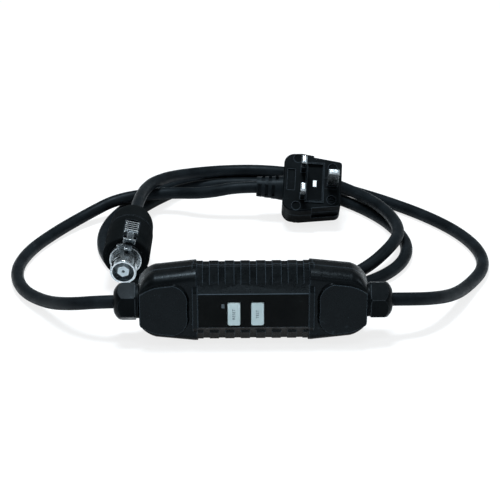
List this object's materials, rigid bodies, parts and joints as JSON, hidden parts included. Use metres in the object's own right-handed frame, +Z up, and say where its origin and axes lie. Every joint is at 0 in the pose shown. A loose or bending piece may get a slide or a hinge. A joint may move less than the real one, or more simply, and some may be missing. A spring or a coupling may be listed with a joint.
{
  "type": "in-line residual current switch box with cord, plug and round connector",
  "caption": "Long grip-sided switch box with reset and test buttons, hex cable glands, a fused three-pin plug on one cord and a round metal-nosed locking connector on the other.",
  "frame": {"origin": "middle of the box's foot, on the surface that the box stands on with its button panel facing -Y", "axes": "+X along the box from the line gland to the load gland, +Y away from the button panel, +Z up"},
  "size_m": [0.3435, 0.2759, 0.0565],
  "materials": {
    "case_plastic": "fine satin grain",
    "panel_plastic": "flat matt",
    "button_plastic": "satin",
    "inner_plastic": "matt",
    "gland_plastic": "semi gloss",
    "seal_rubber": "matt",
    "cord_rubber": "matt",
    "core_rubber": "satin",
    "plug_plastic": "semi gloss",
    "conn_plastic": "satin",
    "conn_metal": "brushed satin nickel",
    "latch_metal": "satin nickel",
    "pin_metal": "nickel plated",
    "brass": "bare",
    "steel": "zinc plated",
    "board": "solder mask",
    "coil": "varnished winding",
    "fuse_ceramic": "glazed",
    "post_plastic": "pale satin",
    "lens": "clear"
  },
  "bodies": {
    "case": {"front_shell": "case_plastic", "back_shell": "case_plastic", "case_gasket": "seal_rubber", "button_panel": "panel_plastic", "indicator_lens": "lens", "reset_spring": "steel", "test_spring": "steel", "circuit_board": "board", "relay_frame": "inner_plastic", "button_guide": "inner_plastic", "fixed_contacts": "brass", "test_contact": "inner_plastic", "trip_coil": "coil", "plunger_spring": "steel", "line_terminals": "brass", "load_terminals": "brass", "line_cores": "core_rubber", "load_cores": "core_rubber", "sensing_toroid": "coil", "case_screws": "steel", "plug_cover": "plug_plastic", "plug_base": "plug_plastic", "line_neutral_pins": "pin_metal", "earth_pin": "pin_metal", "pin_sleeves": "plug_plastic", "fuse_clips": "brass", "pin_tray": "inner_plastic", "plug_screws": "steel", "plug_boot": "cord_rubber", "cord_grip": "inner_plastic", "conn_shell": "conn_plastic", "conn_cap": "conn_plastic", "conn_ring": "seal_rubber", "conn_chuck": "inner_plastic", "conn_flange": "conn_metal", "conn_barrel": "conn_metal", "conn_insert": "inner_plastic", "conn_post": "post_plastic", "conn_contacts": "brass", "latch_spring": "steel", "line_cord": "cord_rubber", "load_cord": "cord_rubber", "line_gland_body": "gland_plastic", "line_gland_nut": "gland_plastic", "line_locknut": "gland_plastic", "line_gland_seal": "seal_rubber", "load_gland_body": "gland_plastic", "load_gland_nut": "gland_plastic", "load_locknut": "gland_plastic", "load_gland_seal": "seal_rubber"},
    "reset_button": {"reset_button": "button_plastic"},
    "contact_bridge": {"contact_carrier": "inner_plastic", "moving_contacts": "brass"},
    "test_button": {"test_button": "button_plastic"},
    "trip_plunger": {"trip_plunger": "steel"},
    "fuse_carrier": {"fuse_carrier": "plug_plastic", "fuse": "fuse_ceramic", "fuse_window": "fuse_ceramic"},
    "latch": {"latch_slider": "latch_metal"}
  },
  "joints": [
    {"name": "reset_press", "type": "slide", "parent": "case", "child": "reset_button", "axis": [0, 1, 0], "range_m": [0, 0.003], "stiffness_N_per_m": 400, "springref_m": -0.001},
    {"name": "contact_close", "type": "slide", "parent": "case", "child": "contact_bridge", "axis": [0, 1, 0], "range_m": [0, 0.003]},
    {"name": "test_press", "type": "slide", "parent": "case", "child": "test_button", "axis": [0, 1, 0], "range_m": [0, 0.002], "stiffness_N_per_m": 400, "springref_m": -0.001},
    {"name": "trip_pull", "type": "slide", "parent": "case", "child": "trip_plunger", "axis": [-1, 0, 0], "range_m": [0, 0.0025], "stiffness_N_per_m": 150, "springref_m": -0.001},
    {"name": "fuse_pull", "type": "slide", "parent": "case", "child": "fuse_carrier", "axis": [0, -0.6691, 0.7431], "range_m": [0, 0.014]},
    {"name": "latch_slide", "type": "slide", "parent": "case", "child": "latch", "axis": [0.0521, 0.9948, 0.0872], "range_m": [0, 0.004], "stiffness_N_per_m": 500, "springref_m": -0.001}
  ],
  "couplings": [
    {"joint": "contact_close", "follows": "reset_press", "ratio": 1}
  ]
}
